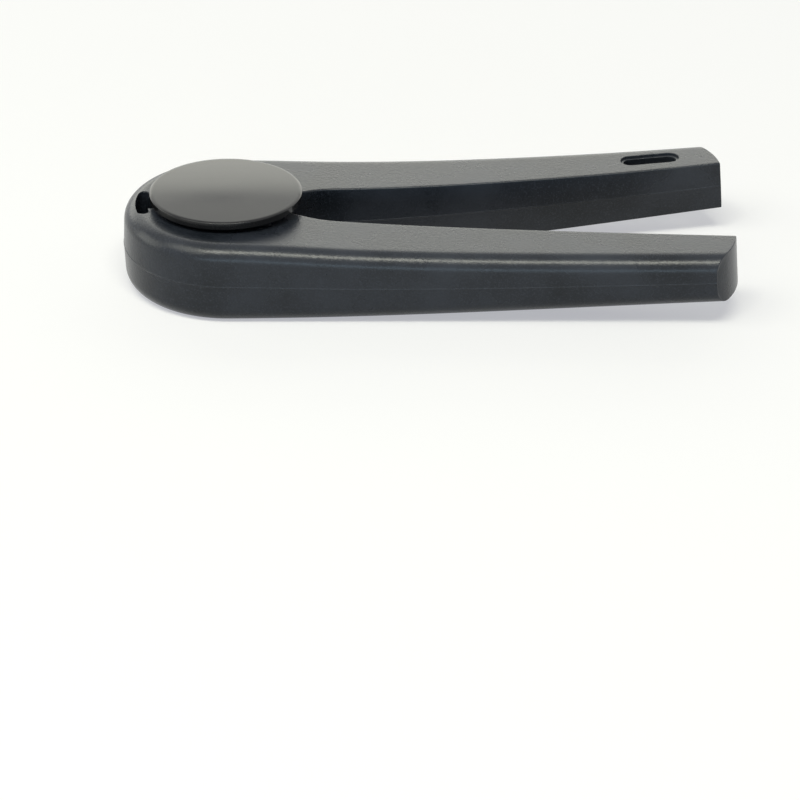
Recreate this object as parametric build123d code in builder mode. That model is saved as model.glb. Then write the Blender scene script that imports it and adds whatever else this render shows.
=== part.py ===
"""Champagne opener: a pair of moulded tongs that grip a cork, with a push button over the cork.

Sizes are in millimetres. The origin is the cork's axis at the head's underside, +X runs along
the handles, +Y to the rear handle, which has the wire slot, and +Z up to the button.
"""
import os
from math import asin, degrees, radians, sin

from build123d import *

# Head seen from above
head_reach = 23.1
head_half_width = 25.0
oval_pull_share = 0.5523

# Head and handles seen from the side
head_height = 18.3
land_end = 4.0
near_station = 22.0
near_drop = 1.1
near_rise = 0.46
middle_station = 60.0
middle_drop = 1.9
middle_rise = 2.35
tip_station = 113.0
tip_drop = 1.0
tip_rise = 5.95
tip_top_slope_share = 0.033
tip_bottom_slope_share = 0.066

# Handles seen from above
outer_middle_half = 27.8
tip_outer_station = 107.5
tip_outer_half = 31.0
end_middle_station = 111.4
end_middle_inset = 5.9
tip_width = 12.3
inner_station = 67.0
inner_half = 12.5
flare_end = 21.4
flare_half = 7.6
slit_mouth = 13.2
slit_half = 4.0

# Rounding of the outer edges, and how far the cutting shapes run past the body
edge_radius = 3.7
overrun = 2.0

# Living hinge, relief and neck at the far end
hinge_from_axis = 21.7
web_radius = 4.2
web_clearance = 0.05
relief_radius = 19.0
relief_width = 2.6
relief_half_angle = 13.5
neck_half = 2.6

# Swing of each lever when the handles are squeezed, in degrees
squeeze_angle = 6.0

# Cork socket and grip pads
pad_inner_radius = 15.0
pad_thickness = 1.6
pad_height = 9.4
pad_end_gap = 0.6
groove_width = 1.2
groove_depth = 0.6
groove_spacing = 3.4

# Roof of the head
roof_thickness = 2.4
well_depth = 3.3
well_clearance = 0.5
guide_clearance = 0.4

# Push button
button_radius = 17.1
button_thickness = 1.75
button_crown = 0.35
button_edge_radius = 0.4
button_gap = 0.15
press_travel = 0.85
stem_radius = 2.6
spring_seat_radius = 5.4
spring_seat_depth = 1.6
seat_gap = 0.05

# Foot that pushes the cork out, and its screw
foot_radius = 12.0
foot_thickness = 2.6
foot_edge = 0.4
screw_radius = 1.25
screw_clearance = 0.05
screw_length = 6.0
screw_head_radius = 2.3
screw_head_height = 1.4
screw_recess_clearance = 0.2
driver_slot_width = 0.7
driver_slot_reach = 1.6
driver_slot_depth = 0.8

# Return spring and the washer it stands on
spring_radius = 6.6
wire_radius = 0.35
spring_turns = 2.25
washer_thickness = 0.6
washer_inner_radius = 3.2
washer_outer_radius = 8.4

# Slot for the wire cage's loop in the rear handle
wire_slot_station = 96.8
wire_slot_inset = 8.4
wire_slot_angle = 7.0
wire_slot_length = 12.1
wire_slot_width = 3.5
slot_step_width = 0.7
slot_step_drop = 2.0

os.makedirs("parts", exist_ok=True)

# Heights and radii that follow from the sizes above
bore_radius = pad_inner_radius + pad_thickness
squeeze_shift = hinge_from_axis * sin(radians(squeeze_angle))
guide_radius = stem_radius + squeeze_shift + guide_clearance
well_radius = washer_outer_radius + squeeze_shift + well_clearance
well_floor = head_height - well_depth
roof_underside = well_floor - roof_thickness
button_underside = head_height + button_gap + press_travel
foot_top = roof_underside - seat_gap
foot_underside = foot_top - foot_thickness
washer_underside = well_floor + seat_gap
washer_top = washer_underside + washer_thickness
driver_size = (2 * driver_slot_reach, driver_slot_width)
end_middle_half = tip_outer_half - end_middle_inset
tip_inner_half = tip_outer_half - tip_width
wire_slot_half = tip_outer_half - wire_slot_inset


# The tongs before they are parted: head and both handles, rounded along their outer edges
def is_outer_edge(edge: Edge) -> bool:
    """Tells whether an edge runs round the outside of the head or along a handle's back."""
    middle = edge @ 0.5
    outside = abs(middle.Y) > (inner_half + outer_middle_half) / 2 or middle.X < -head_reach / 2
    return outside and middle.X < tip_outer_station and abs((edge % 0.5).Z) < 0.5


with BuildPart() as tongs:
    with BuildSketch(Plane.XY.offset(-overrun)):
        with BuildLine():
            back = ThreePointArc(
                (0, head_half_width),
                (middle_station, outer_middle_half),
                (tip_outer_station, tip_outer_half),
            )
            Bezier(
                (-head_reach, 0),
                (-head_reach, oval_pull_share * head_half_width),
                back @ 0 - (back % 0) * (oval_pull_share * head_reach),
                back @ 0,
            )
            end = ThreePointArc(
                back @ 1, (end_middle_station, end_middle_half), (tip_station, tip_inner_half)
            )
            inside = ThreePointArc(end @ 1, (inner_station, inner_half), (flare_end, flare_half))
            Polyline(inside @ 1, (slit_mouth, slit_half), (slit_mouth, 0))
            mirror(about=Plane.XZ)
        make_face()
    extrude(amount=head_height + 2 * overrun)
    with BuildSketch(Plane.XZ):
        with BuildLine():
            far_end = -head_reach - overrun
            top_line = Spline(
                (-land_end, head_height),
                (near_station, head_height - near_drop),
                (middle_station, head_height - middle_drop),
                (tip_station, head_height - tip_drop),
                tangents=((1, 0), (1, tip_top_slope_share)),
            )
            bottom_line = Spline(
                (-land_end, 0),
                (near_station, near_rise),
                (middle_station, middle_rise),
                (tip_station, tip_rise),
                tangents=((1, 0), (1, tip_bottom_slope_share)),
            )
            Polyline(
                bottom_line @ 1,
                bottom_line @ 1 + (overrun, tip_bottom_slope_share * overrun),
                top_line @ 1 + (overrun, tip_top_slope_share * overrun),
                top_line @ 1,
            )
            Polyline(top_line @ 0, (far_end, head_height), (far_end, 0), bottom_line @ 0)
        make_face()
    extrude(amount=tip_outer_half + overrun, both=True, mode=Mode.INTERSECT)
    fillet(tongs.edges().filter_by(is_outer_edge), radius=edge_radius)

# The same blank with its socket, spring well, slit, neck and relief cut through
with BuildPart() as cut_tongs:
    add(tongs.part)
    with BuildSketch(Plane.XY.offset(-overrun)):
        Circle(bore_radius)
    extrude(amount=roof_underside + overrun, mode=Mode.SUBTRACT)
    with BuildSketch(Plane.XY.offset(well_floor)):
        Circle(well_radius)
    extrude(amount=well_depth + overrun, mode=Mode.SUBTRACT)
    with BuildSketch(Plane.XY.offset(-overrun)):
        Circle(guide_radius)
        with Locations((slit_mouth / 2, 0)):
            Rectangle(slit_mouth + overrun, 2 * slit_half)
        with Locations((-relief_radius / 2, 0)):
            Rectangle(relief_radius, 2 * neck_half)
        SlotArc(
            CenterArc((0, 0), relief_radius, 180 - relief_half_angle, 2 * relief_half_angle),
            relief_width,
        )
    extrude(amount=head_height + 2 * overrun, mode=Mode.SUBTRACT)

hinge_axis = (-hinge_from_axis, 0)

with BuildPart() as hinge_web:
    add(cut_tongs.part)
    with BuildSketch(Plane.XY.offset(-overrun)):
        with Locations(hinge_axis):
            Circle(web_radius)
    extrude(amount=head_height + 2 * overrun, mode=Mode.INTERSECT)
hinge_web.part.label = "hinge_web"
export_step(hinge_web.part, "parts/hinge_web.step")

with BuildPart() as front_lever:
    add(cut_tongs.part)
    split(bisect_by=Plane.XZ, keep=Keep.TOP)
    with BuildSketch(Plane.XY.offset(-overrun)):
        with Locations(hinge_axis):
            Circle(web_radius + web_clearance)
    extrude(amount=head_height + 2 * overrun, mode=Mode.SUBTRACT)
front_lever.part.label = "front_lever"
export_step(front_lever.part, "parts/front_lever.step")

with BuildPart() as rear_lever:
    add(cut_tongs.part)
    split(bisect_by=Plane.XZ, keep=Keep.BOTTOM)
    with BuildSketch(Plane.XY.offset(-overrun)):
        with Locations(hinge_axis):
            Circle(web_radius + web_clearance)
        with Locations(Location((wire_slot_station, wire_slot_half), wire_slot_angle)):
            SlotOverall(wire_slot_length, wire_slot_width)
    extrude(amount=head_height + 2 * overrun, mode=Mode.SUBTRACT)
    with BuildSketch(Plane.XY.offset(head_height - slot_step_drop)):
        with Locations(Location((wire_slot_station, wire_slot_half), wire_slot_angle)):
            SlotOverall(wire_slot_length + 2 * slot_step_width, wire_slot_width + 2 * slot_step_width)
    extrude(amount=slot_step_drop, mode=Mode.SUBTRACT)
rear_lever.part.label = "rear_lever"
export_step(rear_lever.part, "parts/rear_lever.step")


# Grip pads: half rings of soft plastic with upright grooves, one bonded in each lever's socket
mouth_angle = degrees(asin((slit_half + pad_end_gap) / pad_inner_radius))
neck_angle = 180 - degrees(asin((neck_half + pad_end_gap) / pad_inner_radius))
groove_angle = degrees(groove_spacing / pad_inner_radius)
groove_count = int((neck_angle - mouth_angle) / groove_angle) - 1


def grip_pad(name: str, side: int) -> Part:
    """Builds one grip pad.

    Args:
        name: The piece's name.
        side: 1 for the rear lever's pad and -1 for the front one's.

    Returns:
        The grooved half ring, standing on the head's underside.
    """
    with BuildPart() as pad:
        with BuildSketch():
            with BuildLine():
                start, size = side * mouth_angle, side * (neck_angle - mouth_angle)
                outer = CenterArc((0, 0), bore_radius, start, size)
                inner = CenterArc((0, 0), pad_inner_radius, start, size)
                Line(outer @ 0, inner @ 0)
                Line(outer @ 1, inner @ 1)
            make_face()
            middle = side * (mouth_angle + neck_angle) / 2
            first = middle - groove_angle * (groove_count - 1) / 2
            with PolarLocations(pad_inner_radius, groove_count, first, groove_angle * (groove_count - 1)):
                Rectangle(2 * groove_depth, groove_width, mode=Mode.SUBTRACT)
        extrude(amount=pad_height)
    pad.part.label = name
    return pad.part


export_step(grip_pad("rear_grip_pad", 1), "parts/rear_grip_pad.step")
export_step(grip_pad("front_grip_pad", -1), "parts/front_grip_pad.step")

# Push button: a crowned cap on a hollow stem, with a step that centres the spring
with BuildPart() as push_button:
    with BuildSketch(Plane.XZ):
        with BuildLine():
            rim_top = button_underside + button_thickness
            crown_height = rim_top + button_crown
            crown = ThreePointArc(
                (-button_radius, rim_top), (0, crown_height), (button_radius, rim_top)
            )
            Polyline(
                crown @ 1,
                (button_radius, button_underside),
                (-button_radius, button_underside),
                crown @ 0,
            )
        make_face()
        with BuildLine():
            Polyline(
                (-button_radius, button_underside),
                (0, button_underside),
                (0, crown_height),
                (-button_radius, crown_height),
                close=True,
            )
        make_face(mode=Mode.SUBTRACT)
    revolve(axis=Axis.Z)
    fillet(push_button.faces().sort_by(Axis.Z)[0].edges(), radius=button_edge_radius)
    with BuildSketch(Plane.XY.offset(button_underside)):
        Circle(spring_seat_radius)
    extrude(amount=-spring_seat_depth)
    with BuildSketch(Plane.XY.offset(foot_top)):
        Circle(stem_radius)
    extrude(until=Until.NEXT)
    with BuildSketch(Plane.XY.offset(foot_top)):
        Circle(screw_radius + screw_clearance)
    extrude(amount=screw_length - foot_thickness + screw_head_height, mode=Mode.SUBTRACT)
push_button.part.label = "push_button"
export_step(push_button.part, "parts/push_button.step")

# Foot under the roof: it takes the button's push to the cork
with BuildPart() as ejector_foot:
    with BuildSketch(Plane.XY.offset(foot_underside)):
        Circle(foot_radius)
    extrude(amount=foot_thickness)
    chamfer(ejector_foot.edges(), length=foot_edge)
    with Locations(Plane(origin=(0, 0, foot_underside), z_dir=(0, 0, -1))):
        CounterBoreHole(
            radius=screw_radius + screw_clearance,
            counter_bore_radius=screw_head_radius + screw_recess_clearance,
            counter_bore_depth=screw_head_height,
        )
ejector_foot.part.label = "ejector_foot"
export_step(ejector_foot.part, "parts/ejector_foot.step")

# Screw that ties the foot to the stem, driven from below
with BuildPart() as foot_screw:
    head_seat = foot_underside + screw_head_height
    with BuildSketch(Plane.XY.offset(foot_underside)):
        Circle(screw_head_radius)
    extrude(amount=screw_head_height)
    with BuildSketch(Plane.XY.offset(head_seat)):
        Circle(screw_radius)
    extrude(amount=screw_length - screw_head_height)
    with BuildSketch(Plane.XY.offset(foot_underside)):
        Rectangle(*driver_size)
        Rectangle(*driver_size, rotation=90)
    extrude(amount=driver_slot_depth, mode=Mode.SUBTRACT)
foot_screw.part.label = "foot_screw"
export_step(foot_screw.part, "parts/foot_screw.step")

# Washer on the well's floor: it lets the levers slide under the spring
with BuildPart() as spring_washer:
    with BuildSketch(Plane.XY.offset(washer_underside)):
        Circle(washer_outer_radius)
        Circle(washer_inner_radius, mode=Mode.SUBTRACT)
    extrude(amount=washer_thickness)
spring_washer.part.label = "spring_washer"
export_step(spring_washer.part, "parts/spring_washer.step")

# Return spring: one round wire in a steady helix from the washer to the button
spring_rise = button_underside - washer_top - 2 * wire_radius
spring_pitch = spring_rise / spring_turns
with BuildPart() as return_spring:
    with BuildLine() as coil:
        Helix(spring_pitch, spring_rise, spring_radius, center=(0, 0, washer_top + wire_radius))
    with BuildSketch(Plane(origin=coil.line @ 0, z_dir=coil.line % 0)):
        Circle(wire_radius)
    sweep(path=coil.line, is_frenet=True)
return_spring.part.label = "return_spring"
export_step(return_spring.part, "parts/return_spring.step")
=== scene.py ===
"""Champagne opener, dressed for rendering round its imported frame.

Two levers of spark-eroded charcoal plastic meet in a thin bending wall, and a glossy black push
button stands over the socket between them. Sizes in the classes are in millimetres, but for the
lamps' places and sizes in metres, in the frame's own axes: the origin on the socket's axis at
the head's underside, +X along the handles, +Y to the rear handle and +Z up. Meshes are written
in metres.
"""

import logging
from dataclasses import dataclass, field
from enum import Enum
from typing import Callable, Sequence

import bmesh
import bpy
import numpy as np
from mathutils import Matrix, Vector


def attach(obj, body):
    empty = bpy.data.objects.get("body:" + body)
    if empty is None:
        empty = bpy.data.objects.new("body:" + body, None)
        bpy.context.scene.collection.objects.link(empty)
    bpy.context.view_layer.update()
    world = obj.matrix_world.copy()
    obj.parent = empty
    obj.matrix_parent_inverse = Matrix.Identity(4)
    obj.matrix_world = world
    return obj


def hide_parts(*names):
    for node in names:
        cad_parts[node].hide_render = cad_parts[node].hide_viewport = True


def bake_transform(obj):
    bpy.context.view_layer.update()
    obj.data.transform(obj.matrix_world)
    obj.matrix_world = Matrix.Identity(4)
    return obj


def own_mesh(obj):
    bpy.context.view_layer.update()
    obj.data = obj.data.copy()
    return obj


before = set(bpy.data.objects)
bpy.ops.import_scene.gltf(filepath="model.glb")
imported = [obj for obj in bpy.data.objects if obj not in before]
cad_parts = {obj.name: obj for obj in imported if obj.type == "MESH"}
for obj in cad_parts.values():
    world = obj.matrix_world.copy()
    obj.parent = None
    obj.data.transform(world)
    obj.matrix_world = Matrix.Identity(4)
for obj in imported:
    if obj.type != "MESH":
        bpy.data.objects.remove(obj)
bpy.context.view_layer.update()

MM = 0.001
MERGE_DISTANCE = 1e-4 * MM
FLAT_DISTANCE = 1e-5 * MM
CUT_SHARP_OVER = 32.0
TURNED_SHARP_OVER = 40.0
FACE_AREA_WEIGHT = 60
BEND_POINTS = 9
ARC_POINTS = 7
CAP_POINTS = 13

logging.basicConfig(level=logging.INFO, format="%(name)s: %(message)s")
log = logging.getLogger("champagne opener")

Point = tuple[float, float]
Circle = tuple[float, float, float]
Colour = tuple[float, float, float]
Curve = Callable[[np.ndarray], np.ndarray]
Level = tuple[float, bool, float]
Link = tuple[bpy.types.Node, str | int, bpy.types.Node, str | int]


class Side(Enum):
    """The two halves of the tongs, by the sign of their Y."""

    FRONT = -1
    REAR = 1

    @property
    def body(self) -> str:
        """The CAD body that this half moves with."""
        return f"{self.name.lower()}_arm"


# Curves


def circle_through(a: Point, b: Point, c: Point) -> Circle:
    """Finds the circle through three points.

    The centre is where the perpendicular bisectors of ab and bc cross, which is a pair of
    linear equations.

    Args:
        a: First point.
        b: Second point.
        c: Third point.

    Returns:
        The centre's two coordinates and the radius.
    """
    a, b, c = (np.array(p, float) for p in (a, b, c))
    rows = np.array([b - a, c - b])
    middles = np.array([(b @ b - a @ a) / 2, (c @ c - b @ b) / 2])
    centre = np.linalg.solve(rows, middles)
    return float(centre[0]), float(centre[1]), float(np.linalg.norm(a - centre))


def arc_height(circle: Circle, beside: float, x: np.ndarray) -> np.ndarray:
    """Gives the second coordinate of a circle's upper or lower half.

    It is the centre's, plus or minus the root of the radius squared less the square of the
    distance along the first coordinate.

    Args:
        circle: The centre's two coordinates and the radius.
        beside: A second coordinate on the wanted half's side of the centre.
        x: First coordinates.

    Returns:
        The second coordinates.
    """
    cx, cy, radius = circle
    return cy + np.sign(beside - cy) * np.sqrt(radius**2 - (x - cx) ** 2)


def clamped_spline(knots: tuple[Point, ...], start_slope: float, end_slope: float) -> Curve:
    """Makes the cubic curve through the knots with given slopes at both ends.

    The knots' own slopes solve the usual tridiagonal equations of equal second derivatives,
    and each span is then a Hermite cubic. Outside the knots the curve goes on straight.

    Args:
        knots: Points in order along the first coordinate.
        start_slope: Slope at the first knot.
        end_slope: Slope at the last knot.

    Returns:
        A function from an array of positions to an array of heights.
    """
    x, y = np.array(knots, float).T
    gap, rise = np.diff(x), np.diff(y)
    system = np.eye(len(x))
    sides = np.array([start_slope, *np.zeros(len(x) - 2), end_slope])
    for i in range(1, len(x) - 1):
        system[i, i - 1 : i + 2] = 1 / gap[i - 1], 2 / gap[i - 1] + 2 / gap[i], 1 / gap[i]
        sides[i] = 3 * (rise[i - 1] / gap[i - 1] ** 2 + rise[i] / gap[i] ** 2)
    slope = np.linalg.solve(system, sides)

    def height(at: np.ndarray) -> np.ndarray:
        """Gives the cubic's height, or the end tangent's outside the knots.

        Args:
            at: Positions along the first coordinate.

        Returns:
            The heights.
        """
        inside = np.clip(at, x[0], x[-1])
        i = np.clip(np.searchsorted(x, inside, side="right") - 1, 0, len(gap) - 1)
        t = (inside - x[i]) / gap[i]
        cubic = (
            (2 * t**3 - 3 * t**2 + 1) * y[i]
            + (t**3 - 2 * t**2 + t) * gap[i] * slope[i]
            + (3 * t**2 - 2 * t**3) * y[i + 1]
            + (t**3 - t**2) * gap[i] * slope[i + 1]
        )
        return cubic + (at - inside) * np.where(at > inside, slope[-1], slope[0])

    return height


def unit(vectors: np.ndarray) -> np.ndarray:
    """Scales each vector of the last axis to length one."""
    return vectors / np.maximum(np.linalg.norm(vectors, axis=-1, keepdims=True), 1e-12)


def turned(vectors: np.ndarray) -> np.ndarray:
    """Turns each plane vector a quarter turn to the right."""
    return np.stack([vectors[..., 1], -vectors[..., 0]], axis=-1)


def evenly_along(path: np.ndarray, count: int) -> np.ndarray:
    """Spreads points evenly along a path of many points.

    Args:
        path: The path's points.
        count: How many points to return, both ends included.

    Returns:
        The points, by linear steps between the path's own.
    """
    run = np.concatenate([[0], np.cumsum(np.linalg.norm(np.diff(path, axis=0), axis=1))])
    at = np.linspace(0, run[-1], count)
    return np.stack([np.interp(at, run, column) for column in path.T], axis=1)


def rounded_corner(
    before: np.ndarray, corner: np.ndarray, after: np.ndarray, reach: float
) -> np.ndarray:
    """Rounds a corner with the parabola that touches both its sides at the given reach.

    It is the quadratic Bezier of its two ends and the corner.

    Args:
        before: A point on the side that leads to the corner.
        corner: The corner.
        after: A point on the side that leads away.
        reach: Distance from the corner to the parabola's two ends.

    Returns:
        The parabola's points, BEND_POINTS of them.
    """
    t = np.linspace(0, 1, BEND_POINTS)[:, None]
    start = corner + unit(before - corner) * reach
    end = corner + unit(after - corner) * reach
    return (1 - t) ** 2 * start + 2 * t * (1 - t) * corner + t**2 * end


def rounding(radius: float, degrees: Sequence[float]) -> list[Point]:
    """Lists points of a quarter circle by how far each stands off the two sides it joins.

    That is the radius times one less the cosine, and times one less the sine.

    Args:
        radius: The quarter circle's radius.
        degrees: Its points' angles, 0 where it leaves the first side.

    Returns:
        For each point the distances off the first and the second side.
    """
    return [(radius * (1 - np.cos(a)), radius * (1 - np.sin(a))) for a in np.radians(degrees)]


# Meshes


def grid_faces(
    rows: int, columns: int, closed_rows: bool = False, closed_columns: bool = False
) -> np.ndarray:
    """Lists the four-sided faces of a grid of points numbered row by row.

    Args:
        rows: Number of rows.
        columns: Number of columns.
        closed_rows: Whether the last row joins the first.
        closed_columns: Whether the last column joins the first.

    Returns:
        One row of four point numbers for each face.
    """
    i = np.arange(rows if closed_rows else rows - 1)[:, None]
    j = np.arange(columns if closed_columns else columns - 1)[None, :]
    below, beside = (i + 1) % rows, (j + 1) % columns
    here, under = i * columns, below * columns
    corners = np.broadcast_arrays(here + j, here + beside, under + beside, under + j)
    return np.stack(corners, axis=-1).reshape(-1, 4)


def mesh_object(name: str, patches: list[tuple[np.ndarray, np.ndarray]]) -> bpy.types.Object:
    """Makes an object from patches of points in millimetres.

    Shared edges are merged, faces that merging flattens to a line go, and the normals are
    turned outwards.

    Args:
        name: The piece's name.
        patches: Pairs of points and faces, each patch with its own point numbers.

    Returns:
        The object, linked to the scene, with its place in its mesh.
    """
    starts = np.cumsum([0] + [len(points) for points, _ in patches])
    points = np.concatenate([points for points, _ in patches]) * MM
    faces = np.concatenate([faces + start for (_, faces), start in zip(patches, starts)])
    mesh = bpy.data.meshes.new(name)
    mesh.vertices.add(len(points))
    mesh.vertices.foreach_set("co", points.astype(np.float32).ravel())
    mesh.loops.add(faces.size)
    mesh.loops.foreach_set("vertex_index", faces.astype(np.int32).ravel())
    mesh.polygons.add(len(faces))
    first_corners = np.arange(0, faces.size, faces.shape[1], dtype=np.int32)
    mesh.polygons.foreach_set("loop_start", first_corners)
    mesh.update(calc_edges=True)
    work = bmesh.new()
    work.from_mesh(mesh)
    bmesh.ops.remove_doubles(work, verts=work.verts, dist=MERGE_DISTANCE)
    bmesh.ops.dissolve_degenerate(work, edges=work.edges, dist=FLAT_DISTANCE)
    bmesh.ops.recalc_face_normals(work, faces=work.faces)
    work.to_mesh(mesh)
    work.free()
    mesh.validate()
    piece = bpy.data.objects.new(name, mesh)
    bpy.context.collection.objects.link(piece)
    return piece


def tube(name: str, rings: np.ndarray) -> bpy.types.Object:
    """Makes a closed shape from rings with the same number of points.

    Args:
        name: The object's name.
        rings: Rings by points by three, the first and last closed by fans to their middle.

    Returns:
        The closed object.
    """
    count = rings.shape[1]
    patches = [(rings.reshape(-1, 3), grid_faces(len(rings), count, closed_columns=True))]
    for ring in (rings[0], rings[-1]):
        fan = np.stack([ring, np.broadcast_to(ring.mean(axis=0), ring.shape)])
        patches.append((fan.reshape(-1, 3), grid_faces(2, count, closed_columns=True)))
    return mesh_object(name, patches)


def lathe(name: str, profile: np.ndarray, segments: int = 160) -> bpy.types.Object:
    """Turns a profile about the socket's axis.

    A point of the piece is the profile's radius times the cosine and sine of the angle, at the
    profile's height.

    Args:
        name: The piece's name.
        profile: Closed outline as radius and height, or one that starts and ends on the axis.
        segments: Steps round the axis.

    Returns:
        The turned object.
    """
    angle = np.linspace(0, 2 * np.pi, segments, endpoint=False)[:, None]
    radius = profile[:, 0][None, :]
    height = np.broadcast_to(profile[:, 1], (segments, len(profile)))
    points = np.stack([radius * np.cos(angle), radius * np.sin(angle), height], axis=-1)
    on_axis = profile[0, 0] == 0 and profile[-1, 0] == 0
    faces = grid_faces(segments, len(profile), closed_rows=True, closed_columns=not on_axis)
    return mesh_object(name, [(points.reshape(-1, 3), faces)])


def rounded_outline(corners: list[tuple[float, float, float]]) -> np.ndarray:
    """Rounds the corners of an outline.

    Each corner is an arc that touches both of its sides: its centre lies on the bisector at
    the radius over the sine of half the angle between the sides.

    Args:
        corners: Two coordinates and a radius for each corner, in order; radius 0 stays sharp.

    Returns:
        The outline's points.
    """
    plain = np.array([corner[:2] for corner in corners], float)
    share = np.linspace(0, 1, ARC_POINTS)[:, None]
    points = []
    for i, (x, y, radius) in enumerate(corners):
        here = np.array([x, y])
        if radius == 0:
            points.append(here[None, :])
            continue
        back, ahead = unit(plain[i - 1] - here), unit(plain[(i + 1) % len(plain)] - here)
        half = np.arccos(np.clip(back @ ahead, -1, 1)) / 2
        centre = here + unit(back + ahead) * radius / np.sin(half)
        first = here + back * radius / np.tan(half) - centre
        last = here + ahead * radius / np.tan(half) - centre
        points.append(centre + unit((1 - share) * first + share * last) * radius)
    return np.concatenate(points)


def cut(
    piece: bpy.types.Object, cutters: list[bpy.types.Object], keep_inside: bool = False
) -> None:
    """Cuts a piece with closed shapes, which are then removed.

    Args:
        piece: The piece to cut.
        cutters: Closed objects.
        keep_inside: Whether to keep what lies inside the shapes instead of what lies outside.
    """
    for cutter in cutters:
        modifier = piece.modifiers.new("cut", "BOOLEAN")
        modifier.operation = "INTERSECT" if keep_inside else "DIFFERENCE"
        modifier.solver = "EXACT"
        modifier.object = cutter
    apply_modifiers(piece)
    for cutter in cutters:
        bpy.data.objects.remove(cutter)


def apply_modifiers(piece: bpy.types.Object) -> None:
    """Replaces a piece's mesh by what its modifiers make of it.

    Args:
        piece: The piece, which ends with no modifiers.
    """
    evaluated = piece.evaluated_get(bpy.context.evaluated_depsgraph_get())
    mesh = bpy.data.meshes.new_from_object(evaluated)
    piece.modifiers.clear()
    piece.data = mesh
    mesh.name = piece.name


def shade(piece: bpy.types.Object, sharp_over_degrees: float) -> None:
    """Shades a piece smoothly, with sharp edges where its faces turn by more than an angle.

    Args:
        piece: The piece to shade.
        sharp_over_degrees: The angle over which an edge stays sharp.
    """
    piece.data.shade_smooth()
    piece.data.set_sharp_from_angle(angle=np.radians(sharp_over_degrees))
    weighted = piece.modifiers.new("even_normals", "WEIGHTED_NORMAL")
    weighted.keep_sharp = True
    weighted.weight = FACE_AREA_WEIGHT
    apply_modifiers(piece)


def report(piece: bpy.types.Object) -> None:
    """Logs a finished piece."""
    log.info("%s: %d faces", piece.name, len(piece.data.polygons))


# Shader groups and finishes


def shader_group(
    name: str, inputs: dict[str, float], outputs: tuple[str, ...]
) -> tuple[bpy.types.NodeTree, bpy.types.Node, bpy.types.Node]:
    """Starts a shader group with named number sockets.

    Args:
        name: The group's name.
        inputs: The default value of each input.
        outputs: The names of the outputs.

    Returns:
        The group, and the nodes that hold its inputs and outputs.
    """
    group = bpy.data.node_groups.new(name, "ShaderNodeTree")
    sockets, kind = group.interface, "NodeSocketFloat"
    for entry, default in inputs.items():
        made = sockets.new_socket(name=entry, in_out="INPUT", socket_type=kind)
        made.default_value = default
    for exit_name in outputs:
        sockets.new_socket(name=exit_name, in_out="OUTPUT", socket_type=kind)
    return group, group.nodes.new("NodeGroupInput"), group.nodes.new("NodeGroupOutput")


def node(tree: bpy.types.NodeTree, kind: str, **settings: object) -> bpy.types.Node:
    """Adds a shader node and sets its properties and, by name, its input values.

    Args:
        tree: The material's or group's node tree.
        kind: The node's type without its ShaderNode prefix.
        **settings: Properties of the node, or values of inputs with spaces written as _.

    Returns:
        The new node.
    """
    made = tree.nodes.new(f"ShaderNode{kind}")
    for name, value in settings.items():
        if hasattr(made, name):
            setattr(made, name, value)
        else:
            made.inputs[name.replace("_", " ")].default_value = value
    return made


def scaled(tree: bpy.types.NodeTree, factor: float, operation: str = "MULTIPLY") -> bpy.types.Node:
    """Adds a node that takes its first input times a factor.

    Args:
        tree: The material's or group's node tree.
        factor: The factor.
        operation: MULTIPLY, or MULTIPLY_ADD to add the third input.

    Returns:
        The new node.
    """
    made = node(tree, "Math", operation=operation)
    made.inputs[1].default_value = factor
    return made


def wire(tree: bpy.types.NodeTree, *links: Link) -> None:
    """Links nodes.

    Args:
        tree: The tree that holds them.
        *links: For each link the node and output that it leaves, and the node and input that
            it enters.
    """
    for source, output, target, entry in links:
        tree.links.new(source.outputs[output], target.inputs[entry])


def spark_grain_group() -> bpy.types.NodeTree:
    """Builds the grain that spark erosion leaves on a mould and the mould on the plastic.

    Craters are cell noise of the grain's size, with a finer noise over them, and a slow
    cloud changes tone and gloss over centimetres.

    Returns:
        The group, with inputs Grain and Cloud in cells per metre, and outputs Height, Speck
        and Tone, each from 0 to 1.
    """
    group, inside, outside = shader_group(
        "spark_grain", {"Grain": 3600.0, "Cloud": 60.0}, ("Height", "Speck", "Tone")
    )
    place = node(group, "TexCoord")
    craters = node(group, "TexVoronoi", feature="SMOOTH_F1", Smoothness=0.6)
    fine = node(group, "TexNoise", Detail=3.0, Roughness=0.65)
    finer_scale = scaled(group, 1.7)
    mixed = node(group, "Mix", data_type="FLOAT", Factor=0.5)
    speck = node(group, "MapRange", From_Min=0.52, From_Max=0.68)
    cloud = node(group, "TexNoise", Detail=4.0, Roughness=0.55)
    tone = node(group, "MapRange", From_Min=0.3, From_Max=0.7)
    wire(
        group,
        (place, "Object", craters, "Vector"),
        (place, "Object", fine, "Vector"),
        (place, "Object", cloud, "Vector"),
        (inside, "Grain", craters, "Scale"),
        (inside, "Grain", finer_scale, 0),
        (finer_scale, 0, fine, "Scale"),
        (inside, "Cloud", cloud, "Scale"),
        (craters, "Distance", mixed, "A"),
        (fine, "Fac", mixed, "B"),
        (mixed, "Result", outside, "Height"),
        (fine, "Fac", speck, "Value"),
        (speck, "Result", outside, "Speck"),
        (cloud, "Fac", tone, "Value"),
        (tone, "Result", outside, "Tone"),
    )
    return group


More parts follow.
